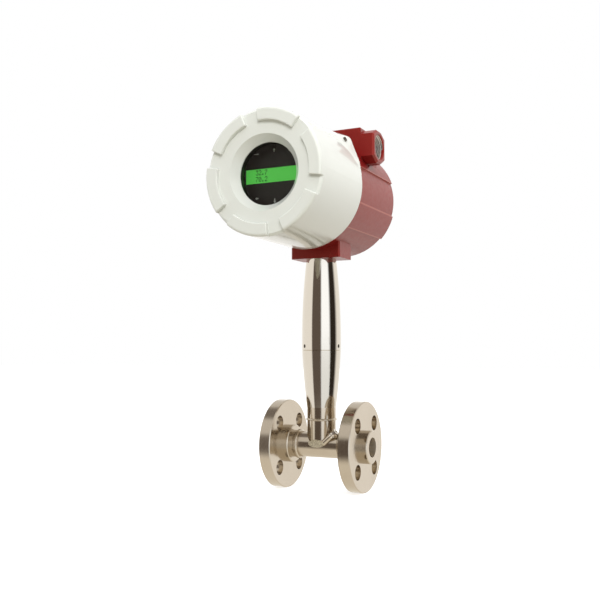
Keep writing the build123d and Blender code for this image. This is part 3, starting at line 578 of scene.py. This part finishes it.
# World: soft light all round, white to the camera, and the studio's light and dark walls in reflections
def make_world():
    world = bpy.data.worlds.new("studio")
    bpy.context.scene.world = world
    world.use_nodes = True
    tree = world.node_tree
    tree.nodes.clear()
    out = tree.nodes.new("ShaderNodeOutputWorld")
    path = tree.nodes.new("ShaderNodeLightPath")

    def background(colour, strength):
        node = tree.nodes.new("ShaderNodeBackground")
        if isinstance(colour, bpy.types.NodeSocket):
            tree.links.new(colour, node.inputs[0])
        else:
            node.inputs[0].default_value = (*colour, 1.0)
        node.inputs[1].default_value = strength
        return node.outputs[0]

    def pick(factor, first, second):
        node = tree.nodes.new("ShaderNodeMixShader")
        tree.links.new(factor, node.inputs[0])
        tree.links.new(first, node.inputs[1])
        tree.links.new(second, node.inputs[2])
        return node.outputs[0]

    def ramp(value, stops):
        node = tree.nodes.new("ShaderNodeValToRGB")
        tree.links.new(value, node.inputs[0])
        elements = node.color_ramp.elements
        while len(elements) > 1:
            elements.remove(elements[-1])
        elements[0].position = stops[0][0]
        elements[0].color = (*stops[0][1], 1.0)
        for place, colour in stops[1:]:
            element = elements.new(place)
            element.color = (*colour, 1.0)
        return node.outputs[0]

    def calc(operation, a, b=None):
        node = tree.nodes.new("ShaderNodeMath")
        node.operation = operation
        for index, value in enumerate((a, b)):
            if isinstance(value, bpy.types.NodeSocket):
                tree.links.new(value, node.inputs[index])
            elif value is not None:
                node.inputs[index].default_value = value
        return node.outputs[0]

    where = tree.nodes.new("ShaderNodeTexCoord")
    parts = tree.nodes.new("ShaderNodeSeparateXYZ")
    tree.links.new(where.outputs["Generated"], parts.inputs[0])
    x, y, z = parts.outputs
    heading = calc("DIVIDE", calc("ARCTAN2", y, x), 2 * math.pi)
    turn = calc("FRACT", calc("ADD", heading, 1.0))

    def at(degrees):
        return (degrees % 360) / 360

    def fade(value, low, high):
        node = tree.nodes.new("ShaderNodeMapRange")
        node.interpolation_type = "SMOOTHSTEP"
        tree.links.new(value, node.inputs[0])
        node.inputs[1].default_value = low
        node.inputs[2].default_value = high
        return node.outputs[0]

    def mix(factor, first, second):
        node = tree.nodes.new("ShaderNodeMix")
        node.data_type = "RGBA"
        tree.links.new(factor, node.inputs[0])
        for place, value in zip([k for k in node.inputs if k.type == "RGBA"], (first, second)):
            if isinstance(value, bpy.types.NodeSocket):
                tree.links.new(value, place)
            else:
                place.default_value = (*value, 1.0)
        return [k for k in node.outputs if k.type == "RGBA"][0]

    # The studio in reflections, by heading: dark screen, window, black screen, pale wall
    screen = (0.15, 0.12, 0.10)
    window = (1.50, 1.58, 1.72)
    black = (0.035, 0.028, 0.022)
    wall = (1.15, 1.13, 1.10)
    stops = sorted([
        (at(-126), wall), (at(-121), screen), (at(-72), screen), (at(-63), window),
        (at(-22), window), (at(-10), black), (at(22), black), (at(40), wall), (at(200), wall),
    ], key=lambda stop: stop[0])
    walls = ramp(turn, stops)
    lift = calc("MULTIPLY", calc("ARCSINE", z), 180 / math.pi)
    # By elevation: the window ends low down, pale floor, pale upper wall, dim ceiling with a strip
    inside = calc("MULTIPLY", calc("GREATER_THAN", turn, at(-66)), calc("LESS_THAN", turn, at(-12)))
    dimmed = mix(calc("MULTIPLY", inside, fade(lift, 6.0, -14.0)), walls, (1.12, 1.17, 1.22))
    low = mix(fade(lift, -14.0, -38.0), dimmed, (0.98, 0.93, 0.83))
    high = mix(fade(lift, 16.0, 29.0), low, (0.88, 0.86, 0.83))
    ceiling = mix(fade(lift, 52.0, 60.0), high, (0.24, 0.21, 0.19))
    overhead = mix(fade(lift, 74.0, 80.0), ceiling, (1.1, 1.1, 1.08))
    # Two dark rails behind, just under the horizon
    behind = calc("MULTIPLY", calc("GREATER_THAN", turn, at(94)), calc("LESS_THAN", turn, at(114)))
    first = calc("LESS_THAN", calc("ABSOLUTE", calc("ADD", lift, 25.0)), 1.3)
    second = calc("LESS_THAN", calc("ABSOLUTE", calc("ADD", lift, 20.0)), 1.0)
    rails = calc("MULTIPLY", behind, calc("MAXIMUM", first, second))
    seen = mix(rails, overhead, (0.10, 0.08, 0.06))

    sky = mix(fade(z, -0.1, 0.7), (0.52, 0.52, 0.50), (0.80, 0.82, 0.84))
    ambient = background(sky, 1.0)
    reflected = background(seen, 1.0)
    backdrop = background((1.0, 1.0, 1.0), 1.0)
    sharp = calc("MAXIMUM", path.outputs["Is Glossy Ray"], path.outputs["Is Transmission Ray"])
    lit = pick(sharp, ambient, reflected)
    final = pick(path.outputs["Is Camera Ray"], lit, backdrop)
    tree.links.new(final, out.inputs[0])


make_world()


# Soft boxes, not seen in reflections
def area_light(name, place, target, size, power, colour=(1.0, 1.0, 1.0)):
    data = bpy.data.lights.new(name, "AREA")
    data.shape = "RECTANGLE"
    data.size = size[0]
    data.size_y = size[1]
    data.energy = power
    data.color = colour
    light = bpy.data.objects.new(name, data)
    bpy.context.scene.collection.objects.link(light)
    light.location = place
    aim = Vector(target) - Vector(place)
    light.rotation_euler = aim.to_track_quat("-Z", "Y").to_euler()
    light.visible_glossy = False
    light.visible_transmission = False


middle = (POST_X, -0.03, 0.20)
area_light("key", (0.50, -1.05, 0.80), middle, (0.5, 0.5), 7.6, (1.0, 0.995, 0.98))
area_light("top", (0.20, 0.10, 1.25), middle, (0.9, 0.9), 5.6)
area_light("right", (1.10, -0.02, 0.78), middle, (0.6, 0.9), 3.6)

bpy.context.scene.view_settings.view_transform = "Standard"
